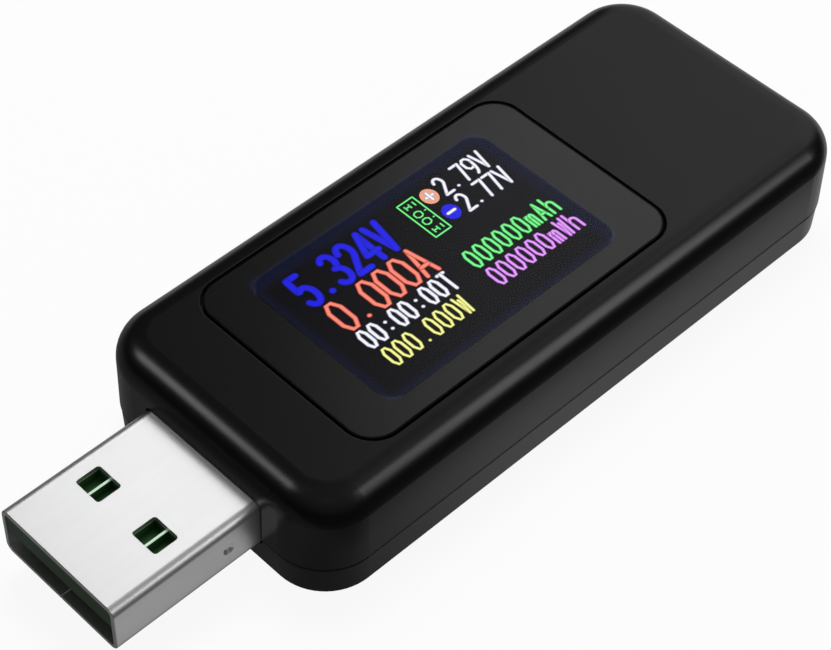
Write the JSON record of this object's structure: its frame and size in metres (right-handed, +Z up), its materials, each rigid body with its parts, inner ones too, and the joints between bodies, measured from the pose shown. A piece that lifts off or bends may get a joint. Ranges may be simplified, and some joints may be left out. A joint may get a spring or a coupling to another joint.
{
  "type": "usb power meter",
  "caption": "Flat boxed USB power meter with a USB-A plug, a USB-A socket, a colour readout behind a window and a push button underneath.",
  "frame": {"origin": "on the underside, under the middle of the whole meter with its plug", "axes": "+X from the plug to the socket, +Z up through the display, +Y to the left seen from the plug end looking along +X"},
  "size_m": [0.069, 0.0244, 0.0099],
  "materials": {
    "housing_plastic": "satin moulded black, very fine grain",
    "button_plastic": "matt moulded black",
    "lens_clear": "clear gloss acrylic",
    "mask_black": "black printed film behind the lens",
    "tape_black": "black adhesive tape",
    "foam_black": "closed-cell foam",
    "display_dark": "dark polarised display face",
    "picture": "lit display picture, emissive",
    "tray_white": "white light-guide tray",
    "flex_amber": "polyimide film over copper",
    "board_green": "solder mask over glass fibre",
    "shell_nickel": "bright nickel plate on drawn sheet",
    "insulator_green": "dark green moulding",
    "contact_gold": "gold-flashed contact",
    "tinned": "dull tin plate",
    "chip_black": "moulded package, fine matt",
    "ceramic_tan": "fired ceramic",
    "ceramic_black": "resistor film under glaze",
    "tantalum_amber": "moulded amber case",
    "switch_black": "moulded switch parts",
    "sensor_strip": "resistive metal strip"
  },
  "bodies": {
    "housing": {"upper_shell": "housing_plastic", "lower_cover": "housing_plastic", "window_lens": "lens_clear", "lens_mask": "mask_black", "lens_tape": "tape_black", "display_gasket": "foam_black", "display_glass": "display_dark", "display_driver_chip": "chip_black", "display_backlight": "tray_white", "display_flex": "flex_amber", "foam_pad": "foam_black", "main_board": "board_green", "plug_shell": "shell_nickel", "plug_insulator": "insulator_green", "plug_contacts": "contact_gold", "socket_shell": "shell_nickel", "socket_insulator": "insulator_green", "socket_contacts": "contact_gold", "switch_dome": "tinned", "switch_plate": "tinned", "switch_body": "switch_black", "switch_terminals": "tinned", "microcontroller": "chip_black", "microcontroller_leads": "tinned", "memory_chip": "chip_black", "memory_chip_leads": "tinned", "shunt_resistor": "sensor_strip", "shunt_terminals": "tinned", "protection_diode": "chip_black", "regulator": "chip_black", "tantalum_capacitor": "tantalum_amber", "crystal": "tinned", "ceramic_capacitors": "ceramic_tan", "chip_resistors": "ceramic_black", "chip_end_caps": "tinned"},
    "button": {"button_cap": "button_plastic", "switch_plunger": "switch_black"}
  },
  "joints": [
    {"name": "button_press", "type": "slide", "parent": "housing", "child": "button", "axis": [0, 0, 1], "range_m": [0, 0.00025], "stiffness_N_per_m": 4000, "deforming": ["switch_dome"]}
  ]
}
